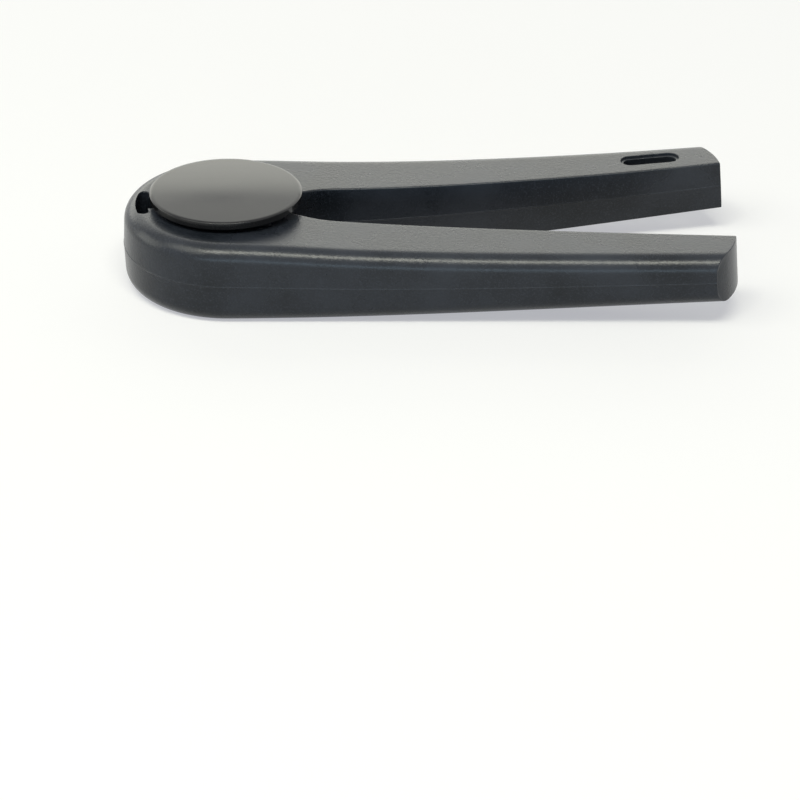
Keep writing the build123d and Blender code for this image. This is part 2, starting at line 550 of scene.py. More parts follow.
def fine_wear_group() -> bpy.types.NodeTree:
    """Builds hairline scuffs for polished surfaces.

    Scuffs are a noise drawn out about fiftyfold along a slanting direction and cut to thin
    lines.

    Returns:
        The group, with an input Size in cells per metre and an output Scuffs from 0 to 1.
    """
    group, inside, outside = shader_group("fine_wear", {"Size": 900.0}, ("Scuffs",))
    place = node(group, "TexCoord")
    drawn = node(group, "Mapping", Rotation=(0.0, 0.0, 0.6), Scale=(0.03, 1.6, 1.0))
    lines = node(group, "TexNoise", Detail=2.0)
    thin = node(group, "MapRange", From_Min=0.66, From_Max=0.72)
    wire(
        group,
        (place, "Object", drawn, "Vector"),
        (drawn, "Vector", lines, "Vector"),
        (inside, "Size", lines, "Scale"),
        (lines, "Fac", thin, "Value"),
        (thin, "Result", outside, "Scuffs"),
    )
    return group


def seen_straight(tree: bpy.types.NodeTree) -> bpy.types.Node:
    """Builds a mask of the rays that show a background.

    It is the greatest of Is Camera Ray, Is Glossy Ray and Is Transmission Ray.

    Args:
        tree: The material's or world's own tree.

    Returns:
        The node whose first output is 1 for those rays and 0 for all others.
    """
    path = node(tree, "LightPath")
    seen = node(tree, "Math", operation="MAXIMUM")
    through = node(tree, "Math", operation="MAXIMUM")
    wire(
        tree,
        (path, "Is Camera Ray", seen, 0),
        (path, "Is Glossy Ray", seen, 1),
        (seen, 0, through, 0),
        (path, "Is Transmission Ray", through, 1),
    )
    return through


@dataclass(frozen=True)
class Finish:
    """A surface finish with its grain.

    Attributes:
        name: The material's name.
        slot: Name of a material slot; not used.
        dark: Colour in the grain's hollows.
        light: Colour on its crests.
        roughness: Lowest and highest roughness over the surface.
        metallic: Whether the surface is bare metal.
        grain: Grain cells per metre.
        relief: Height of the grain in millimetres.
        specular: Strength of the plain reflection, 0.5 for common plastics.
        scuffs: Share of the hairline scuffs that shows in the roughness.
        speck_share: How far a speck of the grain moves the colour from dark to light.
    """

    name: str
    slot: str
    dark: Colour
    light: Colour
    roughness: tuple[float, float]
    metallic: bool = False
    grain: float = 3600.0
    relief: float = 0.01
    specular: float = 0.5
    scuffs: float = 0.0
    speck_share: float = 0.8

    def material(self, groups: dict[str, bpy.types.NodeTree]) -> bpy.types.Material:
        """Builds the material.

        Args:
            groups: The shared shader groups by name.

        Returns:
            The material, made once and found again by its name.
        """
        if self.name in bpy.data.materials:
            return bpy.data.materials[self.name]
        made = bpy.data.materials.new(self.name)
        made.use_nodes = True
        tree = made.node_tree
        shader = tree.nodes["Principled BSDF"]
        shader.inputs["Metallic"].default_value = float(self.metallic)
        shader.inputs["Specular IOR Level"].default_value = self.specular
        grain = node(tree, "Group", node_tree=groups["spark_grain"])
        grain.inputs["Grain"].default_value = self.grain
        wear = node(tree, "Group", node_tree=groups["fine_wear"])
        colour = node(tree, "Mix", data_type="RGBA")
        colour.inputs["A"].default_value = (*self.dark, 1.0)
        colour.inputs["B"].default_value = (*self.light, 1.0)
        blend = scaled(tree, self.speck_share, "MULTIPLY_ADD")
        rough = node(tree, "MapRange", To_Min=self.roughness[0], To_Max=self.roughness[1])
        scuffed = scaled(tree, self.scuffs, "MULTIPLY_ADD")
        bump = node(tree, "Bump", Distance=self.relief * MM, Strength=1.0)
        wire(
            tree,
            (grain, "Speck", blend, 0),
            (grain, "Tone", blend, 2),
            (blend, 0, colour, "Factor"),
            (colour, "Result", shader, "Base Color"),
            (grain, "Tone", rough, "Value"),
            (wear, "Scuffs", scuffed, 0),
            (rough, "Result", scuffed, 2),
            (scuffed, 0, shader, "Roughness"),
            (grain, "Height", bump, "Height"),
            (bump, "Normal", shader, "Normal"),
        )
        return made


CHARCOAL = Finish(
    "charcoal_moulding",
    "body_plastic",
    dark=(0.005, 0.007, 0.010),
    light=(0.023, 0.027, 0.037),
    roughness=(0.24, 0.30),
    grain=1500.0,
    relief=0.042,
    specular=0.32,
)
POLISHED_BLACK = Finish(
    "polished_black",
    "button_plastic",
    dark=(0.006, 0.006, 0.007),
    light=(0.010, 0.010, 0.011),
    roughness=(0.10, 0.14),
    grain=1500.0,
    relief=0.0006,
    specular=0.30,
    scuffs=0.05,
)
SOFT_GRIP = Finish(
    "soft_grip",
    "grip_rubber",
    dark=(0.014, 0.014, 0.015),
    light=(0.026, 0.026, 0.027),
    roughness=(0.70, 0.82),
    grain=5200.0,
    relief=0.015,
    specular=0.35,
)
NATURAL_WASHER = Finish(
    "natural_washer",
    "washer_plastic",
    dark=(0.60, 0.58, 0.52),
    light=(0.72, 0.71, 0.66),
    roughness=(0.38, 0.46),
    grain=2600.0,
    relief=0.004,
)
SPRING_WIRE = Finish(
    "spring_wire",
    "spring_steel",
    dark=(0.42, 0.42, 0.43),
    light=(0.56, 0.56, 0.56),
    roughness=(0.22, 0.34),
    metallic=True,
    grain=5200.0,
    relief=0.003,
    scuffs=0.15,
)
PLATED_SCREW = Finish(
    "plated_screw",
    "screw_steel",
    dark=(0.40, 0.41, 0.43),
    light=(0.55, 0.56, 0.58),
    roughness=(0.26, 0.40),
    metallic=True,
    grain=4200.0,
    relief=0.004,
    scuffs=0.2,
)


@dataclass
class Wardrobe:
    """The shared shader groups, and the way a piece gets its finish.

    Attributes:
        groups: The shader groups by name.
    """

    groups: dict[str, bpy.types.NodeTree] = field(
        default_factory=lambda: {
            "spark_grain": spark_grain_group(),
            "fine_wear": fine_wear_group(),
        }
    )

    def dress(self, piece: bpy.types.Object, finish: Finish) -> None:
        """Gives a piece its material.

        Args:
            piece: The piece.
            finish: Its finish.
        """
        material = finish.material(self.groups)
        piece.data.materials.clear()
        piece.data.materials.append(material)

    def dress_node(self, name: str, finish: Finish) -> None:
        """Gives a CAD node that stays its material, on its object's own slots.

        Args:
            name: The node.
            finish: Its finish.
        """
        made = finish.material(self.groups)
        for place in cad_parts[name].material_slots:
            place.link = "OBJECT"
            place.material = made


# The tongs


@dataclass
class TongsShape:
    """The outline and height of the tongs, in millimetres, for the rear half.

    Attributes:
        head_reach: From the socket's axis to the far end.
        head_half_width: Half the head's width at the socket's axis.
        oval_pull: Share of a quarter oval's sides that its control points stand off.
        back_points: Three points of the handle's outer wall.
        end_points: Three points of the end face, seen from above.
        inside_points: Three points of the handle's inner wall, from the flare on.
        slit_mouth: Where the slit's sides start to flare.
        neck_half: Half the slit's width between the far end and the button's stem.
        neck_stations: Where the neck starts, where it starts to widen, and where it is as wide
            as the slit.
        mouth_reach: Reach of the bend at the slit's mouth.
        flare_reach: Reach of the bend where the flare meets the inner wall.
        top_knots: Stations and heights of the upper side, seen from the side.
        bottom_knots: Stations and heights of the lower side.
        end_slopes: Slopes of the upper and lower sides at the tip.
        edge_radius: Rounding of the outer edges.
        inner_edge_radius: Rounding of the inner edges.
        end_edge_radius: Rounding round the end face.
        draft: How far the walls lean in for each unit of height from the parting line.
        end_lean: How far the end faces lean back for each unit of height.
        seam_height: How far the parting line stands proud.
        seam_half_width: Half the parting line's width.
        seam_shoulder: Height of the parting line's edge, as a share of its middle's.
        seam_foot: Where the wall starts, in half-widths of the parting line.
    """

    head_reach: float = 23.1
    head_half_width: float = 25.0
    oval_pull: float = 0.5523
    back_points: tuple[Point, Point, Point] = ((0.0, 25.0), (60.0, 27.8), (107.5, 31.0))
    end_points: tuple[Point, Point, Point] = ((107.5, 31.0), (111.4, 25.1), (113.0, 18.7))
    inside_points: tuple[Point, Point, Point] = ((21.4, 7.6), (67.0, 12.5), (113.0, 18.7))
    slit_mouth: Point = (13.2, 4.0)
    neck_half: float = 2.6
    neck_stations: tuple[float, float, float] = (-19.0, -4.0, 3.0)
    mouth_reach: float = 1.2
    flare_reach: float = 3.0
    top_knots: tuple[Point, ...] = ((-4.0, 18.3), (22.0, 17.2), (60.0, 16.4), (113.0, 17.3))
    bottom_knots: tuple[Point, ...] = ((-4.0, 0.0), (22.0, 0.46), (60.0, 2.35), (113.0, 5.95))
    end_slopes: tuple[float, float] = (0.033, 0.066)
    edge_radius: float = 3.7
    inner_edge_radius: float = 0.35
    end_edge_radius: float = 0.25
    draft: float = 0.042
    end_lean: float = 0.065
    seam_height: float = 0.07
    seam_half_width: float = 0.11
    seam_shoulder: float = 0.6
    seam_foot: float = 1.6

    def __post_init__(self) -> None:
        """Works out the circles of the walls and the two side curves."""
        self.back_circle = circle_through(*self.back_points)
        self.end_circle = circle_through(*self.end_points)
        self.inside_circle = circle_through(*self.inside_points)
        self.top = clamped_spline(self.top_knots, 0.0, self.end_slopes[0])
        self.bottom = clamped_spline(self.bottom_knots, 0.0, self.end_slopes[1])

    def seam(self, x: np.ndarray) -> np.ndarray:
        """Height of the parting line, midway between the upper and lower sides."""
        return (self.top(x) + self.bottom(x)) / 2

    def back(self, x: np.ndarray) -> np.ndarray:
        """Half-width of the handle's outer wall: the near side of its circle."""
        return arc_height(self.back_circle, self.back_points[0][1], x)

    def back_slope(self, x: np.ndarray) -> np.ndarray:
        """Slope of the outer wall, by the circle's tangent."""
        cx, cy, _ = self.back_circle
        return -(x - cx) / (self.back(x) - cy)

    def end(self, y: np.ndarray, z: np.ndarray | None = None) -> np.ndarray:
        """Gives the end face's station at a half-width, less its edge rounding.

        It is the far side of the end circle, and leans back evenly over the height.

        Args:
            y: Half-widths.
            z: Heights, or None for the parting line's.

        Returns:
            The stations.
        """
        cx, cy, radius = self.end_circle
        middle = float(self.seam(np.array(self.end_points[2][0])))
        lean = 0 if z is None else self.end_lean * (z - middle)
        return cx + np.sqrt(radius**2 - (y - cy) ** 2) - self.end_edge_radius - lean

    def inside(self, x: np.ndarray) -> np.ndarray:
        """Half-width of the handle's inner wall: the near side of its circle."""
        return arc_height(self.inside_circle, self.inside_points[1][1], x)

    def oval(self, share: np.ndarray) -> tuple[np.ndarray, np.ndarray]:
        """Gives the head's outline as a cubic Bezier and its inward normals.

        Args:
            share: From 0 at the far end to 1 beside the socket's axis.

        Returns:
            Points and unit normals that point into the head.
        """
        corner = np.array([0.0, self.head_half_width])
        flank = unit(np.array([1.0, float(self.back_slope(np.array(0.0)))]))
        controls = np.array(
            [
                [-self.head_reach, 0.0],
                [-self.head_reach, self.oval_pull * self.head_half_width],
                corner - flank * self.oval_pull * self.head_reach,
                corner,
            ]
        )
        t = share[:, None]
        weights = np.hstack([(1 - t) ** 3, 3 * t * (1 - t) ** 2, 3 * t**2 * (1 - t), t**3])
        steps = np.hstack([(1 - t) ** 2, 2 * t * (1 - t), t**2])
        tangents = steps @ np.diff(controls, axis=0)
        return weights @ controls, turned(unit(tangents))


@dataclass
class TongsBlank:
    """One half of the tongs before its holes are cut.

    A closed section is carried from the far end round the head to the tip. At each station it
    runs from the parting line up the outer wall, round the edge, over the top, down the inner
    wall and back underneath.

    Attributes:
        shape: The tongs' outline and heights.
        side: Which half it is.
        wall_steps: Steps up each wall, from the parting line to the edge.
        edge_steps: Steps round the outer edge.
        top_steps: Points across the top, and the underside, between the two edges.
        inner_steps: Points round the inner edge.
        far_stations: Stations across the neck's closed end.
        far_share: The oval's share that they take on the outer wall.
        head_stations: Stations along the neck and round the rest of the head.
        handle_stations: Stations to the end of the slit's bend, on to the end of the flare's
            bend, and along the handle to the tip.
        bend_shares: The handle's shares where those stretches meet on the outer wall.
        arc_points: Points of the inner wall's arc before its stations are spread.
        flare_point: Which of them gives the wall's direction at the flare's bend.
        arc_gap: Least distance along the handle from that bend to the arc's first point.
        settle_rounds: Rounds of finding where a rail meets the end face.
        tip_steps: Stations over which the section's points slide to the end face.
    """

    shape: TongsShape
    side: Side
    wall_steps: int = 4
    edge_steps: int = 14
    top_steps: int = 12
    inner_steps: int = 5
    far_stations: int = 10
    far_share: float = 0.16
    head_stations: int = 40
    handle_stations: tuple[int, int, int] = (12, 8, 72)
    bend_shares: tuple[float, float] = (0.12, 0.2)
    arc_points: int = 200
    flare_point: int = 30
    arc_gap: float = 0.2
    settle_rounds: int = 12
    tip_steps: int = 15

    def along_handle(self, marks: np.ndarray) -> np.ndarray:
        """Spreads the handle's stations evenly over its three stretches.

        Args:
            marks: The four places where the stretches start and end.

        Returns:
            The stations' places.
        """
        first, second, last = self.handle_stations
        return np.concatenate(
            [
                np.linspace(marks[0], marks[1], first, endpoint=False),
                np.linspace(marks[1], marks[2], second, endpoint=False),
                np.linspace(marks[2], marks[3], last),
            ]
        )

    def stations(self) -> tuple[np.ndarray, np.ndarray, np.ndarray]:
        """Lays out the stations round the head and along the handle.

        Returns:
            The oval's shares, the handle's shares from 0 at the socket's axis to 1 at the tip,
            and the inner rail's points for all of them.
        """
        s = self.shape
        far_end = np.linspace(0, self.far_share, self.far_stations, endpoint=False)
        head_round = np.linspace(self.far_share, 1, self.head_stations)
        oval_share = np.concatenate([far_end, head_round])
        handle_share = self.along_handle(np.array([0, *self.bend_shares, 1]))
        start, widening, full = s.neck_stations
        neck_end, guide = np.array([start, s.neck_half]), np.array([full, s.slit_mouth[1]])
        widens = np.array([widening, s.neck_half])
        far = evenly_along(np.array([[start, 0.0], neck_end]), self.far_stations + 1)[:-1]
        neck = evenly_along(np.array([neck_end, widens, guide]), self.head_stations)
        mouth, flare = np.array(s.slit_mouth), np.array(s.inside_points[0])
        arc_x = np.linspace(flare[0], s.inside_points[2][0], self.arc_points)
        arc = np.stack([arc_x, s.inside(arc_x)], axis=1)
        slit_bend = rounded_corner(guide, mouth, flare, s.mouth_reach)
        flare_bend = rounded_corner(mouth, flare, arc[self.flare_point], s.flare_reach)
        rest = arc[arc[:, 0] > flare_bend[-1, 0] + self.arc_gap]
        path = np.concatenate([guide[None, :], slit_bend, flare_bend, rest])
        lengths = np.concatenate([[0], np.cumsum(np.linalg.norm(np.diff(path, axis=0), axis=1))])
        marks = self.along_handle(lengths[[0, BEND_POINTS, 2 * BEND_POINTS, -1]])
        rail = np.stack([np.interp(marks, lengths, column) for column in path.T], axis=1)
        return oval_share, handle_share, np.concatenate([far, neck[:-1], rail])

    def outer_rails(
        self, inset: np.ndarray, oval_share: np.ndarray, handle_share: np.ndarray
    ) -> np.ndarray:
        """Places rails at given insets from the outer wall.

        Round the head a rail is the oval moved inwards along its normals. Along the handle it
        is the outer wall's circle moved inwards, from where the head's rail ends to where it
        meets the end face.

        Args:
            inset: Distance of each rail from the outer wall, one row per station.
            oval_share: Shares round the head.
            handle_share: Shares along the handle.

        Returns:
            Plan points, stations by rails by two.
        """
        s = self.shape
        points, normals = s.oval(oval_share)
        head = points[:-1, None, :] + normals[:-1, None, :] * inset[: len(oval_share) - 1, :, None]
        rest = inset[len(oval_share) - 1 :]
        start = normals[-1, 0] * rest[0]
        stop = np.full(rest.shape[1], s.end_points[0][0])
        for _ in range(self.settle_rounds):
            lean = np.sqrt(1 + s.back_slope(stop) ** 2)
            stop = s.end(s.back(stop) - rest[-1] * lean)
        x = start + (stop - start) * handle_share[:, None]
        y = s.back(x) - rest * np.sqrt(1 + s.back_slope(x) ** 2)
        return np.concatenate([head, np.stack([x, y], axis=-1)])

    def half_section(self, upper: bool) -> np.ndarray:
        """Carries the upper or lower half of the section along all stations.

        Args:
            upper: Whether the half above the parting line is wanted.

        Returns:
            Points, stations by rails by three, from the outer parting line to the inner one.
        """
        s = self.shape
        foot = s.seam_half_width * s.seam_foot
        oval_share, handle_share, inner = self.stations()
        base = self.outer_rails(np.zeros((len(inner), 1)), oval_share, handle_share)[:, 0, :]
        face, sign = (s.top, 1) if upper else (s.bottom, -1)
        height = np.abs(face(base[:, 0]) - s.seam(base[:, 0]))[:, None]
        lean = np.arctan(s.draft)
        wall_top = height - s.edge_radius * (1 - np.sin(lean))
        climb = np.linspace(0, 1, self.wall_steps + 1)[None, :]
        ridge = np.array([0.0, s.seam_half_width])[None, :] * np.ones_like(height)
        wall_rise = foot + (wall_top - foot) * climb
        turn = np.linspace(lean, np.pi / 2, self.edge_steps + 1)[None, 1:]
        centre = s.edge_radius * np.sqrt(1 + s.draft**2) + s.draft * (height - s.edge_radius)
        proud = np.array([-s.seam_height, -s.seam_height * s.seam_shoulder])
        ridge_inset = proud[None, :] * np.ones_like(height)
        edge_inset = centre - s.edge_radius * np.cos(turn)
        edge_drop = s.edge_radius * (1 - np.sin(turn)) * np.ones_like(height)
        inset = np.concatenate([ridge_inset, s.draft * wall_rise, edge_inset], axis=1)
        drop = np.concatenate([height - ridge, height - wall_rise, edge_drop], axis=1)
        outer = self.outer_rails(inset, oval_share, handle_share)

        inner_height = np.abs(face(inner[:, 0]) - s.seam(inner[:, 0]))[:, None]
        along = unit(np.gradient(inner, axis=0))
        into = -turned(along)
        round_angle = np.linspace(np.pi / 2, 0, self.inner_steps)[None, :]
        full = s.draft * inner_height
        round_inset = full + s.inner_edge_radius * (1 - np.cos(round_angle))
        round_drop = s.inner_edge_radius * (1 - np.sin(round_angle)) * np.ones_like(inner_height)
        fall = np.linspace(0, 1, self.wall_steps + 1)[None, 1:]
        low_drop = s.inner_edge_radius + (inner_height - s.inner_edge_radius - foot) * fall
        wall_inset = s.draft * (inner_height - low_drop)
        inner_inset = np.concatenate([round_inset, wall_inset, ridge_inset[:, ::-1]], axis=1)
        inner_drop = np.concatenate([round_drop, low_drop, inner_height - ridge[:, ::-1]], axis=1)
        inner_points = inner[:, None, :] + into[:, None, :] * inner_inset[:, :, None]

        across = np.linspace(0, 1, self.top_steps + 2)[None, 1:-1, None]
        flat = outer[:, -1:, :] * (1 - across) + inner_points[:, :1, :] * across
        plan = np.concatenate([outer, flat, inner_points], axis=1)
        drops = np.concatenate([drop, np.zeros(flat.shape[:2]), inner_drop], axis=1)
        tip = plan[-1]
        tip_height = face(tip[:, 0]) - sign * drops[-1]
        from_end = np.arange(len(plan)) - len(plan) + 1
        ramp = np.clip((from_end + self.tip_steps) / self.tip_steps, 0, 1)[:, None]
        plan[..., 0] += (s.end(tip[:, 1], tip_height) - tip[:, 0]) * ramp
        z = face(plan[..., 0]) - sign * drops
        return np.concatenate([plan, z[..., None]], axis=-1)

    def build(self, name: str) -> bpy.types.Object:
        """Builds the closed blank.

        Args:
            name: The object's name.

        Returns:
            The blank, from the far end's middle to the tip.
        """
        upper, lower = self.half_section(True), self.half_section(False)
        seam = (upper[:, [0, -1]] + lower[:, [0, -1]]) / 2
        upper[:, [0, -1]], lower[:, [0, -1]] = seam, seam
        rings = np.concatenate([upper, lower[:, -2:0:-1]], axis=1)
        last = rings[-1]
        outward = unit(np.roll(last, -1, axis=0)[:, 1:] - np.roll(last, 1, axis=0)[:, 1:])
        inward = -turned(outward)
        radius = self.shape.end_edge_radius
        turns = np.radians([22.5, 45, 67.5, 90])[:, None]
        rounding = np.concatenate(
            [
                (last[:, 0] + radius * np.sin(turns))[..., None],
                last[None, :, 1:] + inward[None, :, :] * (radius * (1 - np.cos(turns)))[..., None],
            ],
            axis=-1,
        )
        rings = np.concatenate([rings, rounding])
        rings[0, :, 1] = 0.0
        count = upper.shape[1]
        skin = grid_faces(len(rings), rings.shape[1], closed_columns=True)
        patches = [(rings.reshape(-1, 3), skin)]
        for ring in (rings[0], rings[-1]):
            over = ring[:count]
            under = np.concatenate([ring[:1], ring[: count - 2 : -1]])
            share = np.linspace(0, 1, CAP_POINTS)[None, :, None]
            cap = over[:, None, :] * (1 - share) + under[:, None, :] * share
            patches.append((cap.reshape(-1, 3), grid_faces(count, CAP_POINTS)))
        for points, _ in patches:
            points[:, 1] *= self.side.value
        return mesh_object(name, patches)


@dataclass
class HeadHollows:
    """The holes of the head and the rear handle, as shapes to cut with.

    Attributes:
        shape: The tongs' outline and heights.
        head_top: Height of the head's top.
        bore_radius: Radius of the socket's wall, behind the pads.
        bore_lead: Rounding of the socket's lower edge.
        bore_clear: How far out and down the socket's cutter goes on past that rounding.
        roof_underside: Height of the socket's roof.
        well_radius: Radius of the spring's well.
        well_floor: Height of the well's floor.
        guide_radius: Radius of the hole for the button's stem.
        relief_radius: Radius of the relief's middle line about the socket's axis.
        relief_width: The relief's width.
        relief_half_angle: Degrees to each side that its middle line runs.
        hinge_from_axis: From the socket's axis to the bending wall's middle.
        web_radius: How much of the wall about that middle bends.
        relief_edge: Rounding of the relief's upper and lower edges.
        relief_clear: How far out and on its cutter goes past that, in shares of the rounding.
        relief_points: Points of each of the relief's long sides.
        relief_end_points: Points round each of its ends, with both corners.
        slot_station: Middle of the wire slot along the handle.
        slot_half: Its half-width place.
        slot_angle: Degrees that it turns outwards.
        slot_length: Its length inside.
        slot_width: Its width inside.
        rim_width: Width of the step round its mouth.
        rim_depth: The step's depth.
        rim_radius: Rounding of the slot's rim and of the step's inner edge.
        rim_clear: How far out and up the slot's cutter goes past the rim.
        step_fall: How far the step's floor falls towards the hole.
        slot_foot: Offsets and heights of the flare at the slot's lower end.
        slot_end_points: Points round each of the slot's ends.
        past: How far the cutters reach past the tongs.
        drum_steps: Steps round a round cutter.
    """

    shape: TongsShape
    head_top: float = 18.3
    bore_radius: float = 16.6
    bore_lead: float = 0.6
    bore_clear: tuple[float, float] = (0.3, 0.35)
    roof_underside: float = 12.6
    well_radius: float = 11.17
    well_floor: float = 15.0
    guide_radius: float = 5.27
    relief_radius: float = 19.0
    relief_width: float = 2.6
    relief_half_angle: float = 13.5
    hinge_from_axis: float = 21.7
    web_radius: float = 4.2
    relief_edge: float = 0.25
    relief_clear: tuple[float, float] = (0.6, 0.5)
    relief_points: int = 25
    relief_end_points: int = 17
    slot_station: float = 96.8
    slot_half: float = 22.6
    slot_angle: float = 7.0
    slot_length: float = 12.1
    slot_width: float = 3.5
    rim_width: float = 0.7
    rim_depth: float = 0.55
    rim_radius: float = 0.15
    rim_clear: float = 0.25
    step_fall: float = 0.02
    slot_foot: tuple[Point, ...] = ((0.45, -0.1), (0.12, 0.1), (0.0, 0.4))
    slot_end_points: int = 21
    past: float = 4.0
    drum_steps: int = 144

    def drum(self, name: str, levels: list[Point], station: float = 0.0) -> bpy.types.Object:
        """Builds a round cutter about an upright axis.

        Its corners stand half a step off the axes, so that no edge lies in the plane where
        the two halves of the tongs meet.

        Args:
            name: The cutter's name.
            levels: Radii and heights from the bottom to the top.
            station: Where its axis stands along the handles' direction.

        Returns:
            The closed cutter.
        """
        angle = (np.arange(self.drum_steps)[None, :] + 0.5) * 2 * np.pi / self.drum_steps
        radius, height = np.array(levels, float).T[:, :, None]
        x, y = station + radius * np.cos(angle), radius * np.sin(angle)
        return tube(name, np.stack([x, y, height + 0 * angle], axis=-1))

    def column(
        self, name: str, radius: float, foot: float, station: float = 0.0
    ) -> bpy.types.Object:
        """Builds a plain round cutter that leaves through the head's top.

        Args:
            name: The cutter's name.
            radius: Its radius.
            foot: Height of its lower end.
            station: Where its axis stands along the handles' direction.

        Returns:
            The closed cutter.
        """
        return self.drum(name, [(radius, foot), (radius, self.head_top + self.past)], station)

    def bore(self) -> bpy.types.Object:
        """Builds the socket, with its lower edge rounded.

        Returns:
            The closed cutter.
        """
        lead = rounding(self.bore_lead, np.linspace(75, 0, 6))
        rounded = [(self.bore_radius + out, up) for out, up in lead]
        out, down = self.bore_clear
        widest = rounded[0][0] + out
        levels = [(widest, -self.past), (widest, rounded[0][1] - down), *rounded]
        return self.drum("bore", [*levels, (self.bore_radius, self.roof_underside)])

    def well(self) -> bpy.types.Object:
        """The spring's well in the head's top."""
        return self.column("well", self.well_radius, self.well_floor)

    def guide(self) -> bpy.types.Object:
        """The hole for the button's stem."""
        return self.column("guide", self.guide_radius, -self.past)

    def web(self) -> bpy.types.Object:
        """The drum that parts the bending wall from the levers."""
        return self.column("web", self.web_radius, -self.past, -self.hinge_from_axis)

    def flared_levels(self, radius: float) -> list[Level]:
        """Lists the levels of a cutter that rounds the upper and lower edges it leaves.

        Args:
            radius: The edges' rounding.

        Returns:
            For each level the outward offset, whether it follows the upper side, and its
            height over the side that it follows.
        """
        turns = rounding(radius, [75, 55, 35, 15, 0])
        lower = [(out, False, up) for out, up in turns]
        upper = [(out, True, -down) for out, down in turns[::-1]]
        out, on = self.relief_clear
        wide, clear = lower[0][0] + radius * out, radius * on
        below = [(wide, False, -self.past), (wide, False, -clear)]
        above = [(wide, True, clear), (wide, True, self.past)]
        return [*below, *lower, *upper, *above]

    def stack(
        self, name: str, outline: Callable[[float], np.ndarray], levels: list[Level]
    ) -> bpy.types.Object:
        """Stacks an outline at levels that follow the tongs' lower and upper sides.

        Args:
            name: The cutter's name.
            outline: Function from an outward offset to the outline's plan points.
            levels: For each its offset, whether it follows the upper side, and its height
                over the side that it follows.

        Returns:
            The closed cutter.
        """
        rings = []
        for offset, upper, rise in levels:
            plan = outline(offset)
            face = self.shape.top if upper else self.shape.bottom
            rings.append(np.concatenate([plan, (face(plan[:, 0]) + rise)[:, None]], axis=1))
        return tube(name, np.array(rings))

    def relief(self) -> bpy.types.Object:
        """Builds the relief behind the bending wall: a bent slot about the socket's axis.

        Returns:
            The closed cutter.
        """

        def outline(offset: float) -> np.ndarray:
            """Draws two arcs about the socket's axis, closed by half circles.

            Args:
                offset: How far the outline stands outside the relief's.

            Returns:
                The plan points.
            """
            middle, half = self.relief_radius, self.relief_width / 2 + offset
            reach = np.radians(self.relief_half_angle)
            sweep = np.linspace(-reach, reach, self.relief_points)
            arc = np.stack([-np.cos(sweep), np.sin(sweep)], axis=1)
            outer, inner = (middle + half) * arc, (middle - half) * arc[::-1]
            tip = np.linspace(0, np.pi, self.relief_end_points)[1:-1, None]
            out = np.array([-np.cos(reach), np.sin(reach)])
            onward = np.array([np.sin(reach), np.cos(reach)])
            rear_end = middle * out + half * (np.cos(tip) * out + np.sin(tip) * onward)
            front_end = rear_end[::-1] * np.array([1, -1])
            return np.concatenate([outer, rear_end, inner, front_end])

        return self.stack("relief", outline, self.flared_levels(self.relief_edge))

    def wire_slot(self) -> bpy.types.Object:
        """Builds the wire slot: an obround with a step and a rounded rim at its mouth.

        Returns:
            The closed cutter.
        """
        turn = np.radians(self.slot_angle)
        along = np.array([np.cos(turn), np.sin(turn)])
        across = np.array([-np.sin(turn), np.cos(turn)])
        middle = np.array([self.slot_station, self.slot_half])
        straight = (self.slot_length - self.slot_width) / 2

        def outline(offset: float) -> np.ndarray:
            """Draws two straight sides closed by half circles.

            Args:
                offset: How far the outline stands outside the hole's.

            Returns:
                The plan points.
            """
            half = self.slot_width / 2 + offset
            angle = np.linspace(-np.pi / 2, np.pi / 2, self.slot_end_points)
            right = np.stack([straight + half * np.cos(angle), half * np.sin(angle)], axis=1)
            local = np.concatenate([right, -right])
            return middle + local[:, :1] * along + local[:, 1:] * across

        turns, step = rounding(self.rim_radius, [0, 20, 40, 60, 75]), self.rim_width
        foot = [(offset, False, rise) for offset, rise in self.slot_foot]
        below = [(foot[0][0], False, -self.past), *foot]
        inner_rim = [(out, True, -self.rim_depth - down) for out, down in turns]
        wall = [(step, True, -self.rim_depth + self.step_fall)]
        rim = [(step + out, True, -down) for out, down in turns]
        wide = rim[-1][0] + self.rim_clear
        above = [(wide, True, self.rim_clear), (wide, True, self.past)]
        return self.stack("wire_slot", outline, below + inner_rim + wall + rim + above)


@dataclass
class Tongs:
    """Both levers and the bending wall between them.

    Attributes:
        wardrobe: Gives the pieces their finish.
        shape: The outline and heights.
        blend_share: Where the bending wall has turned all the way, as a share of its half; not
            used.
    """

    wardrobe: Wardrobe
    shape: TongsShape = field(default_factory=TongsShape)
    blend_share: float = 0.85

    def half(self, side: Side) -> None:
        """Builds one lever and its half of the bending wall.

        Args:
            side: Which half.
        """
        hollows = HeadHollows(self.shape)
        lever_name = f"{side.name.lower()}_lever"
        lever = TongsBlank(self.shape, side).build(f"{lever_name}_moulding")
        cutters = [hollows.bore(), hollows.well(), hollows.guide(), hollows.relief()]
        if side is Side.REAR:
            cutters.append(hollows.wire_slot())
        cut(lever, cutters)
        wall = lever.copy()
        wall.data = lever.data.copy()
        wall.name = f"bending_wall_{side.name.lower()}"
        bpy.context.collection.objects.link(wall)
        cut(wall, [hollows.web()], keep_inside=True)
        cut(lever, [hollows.web()])
        for piece in (lever, wall):
            shade(piece, CUT_SHARP_OVER)
            self.wardrobe.dress(piece, CHARCOAL)
        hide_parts(lever_name)
        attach(lever, side.body)
        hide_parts("hinge_web")
        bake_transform(wall)
        for piece in (lever, wall):
            report(piece)

    def build(self) -> None:
        """Builds both halves."""
        for side in Side:
            self.half(side)


# What stands in the head


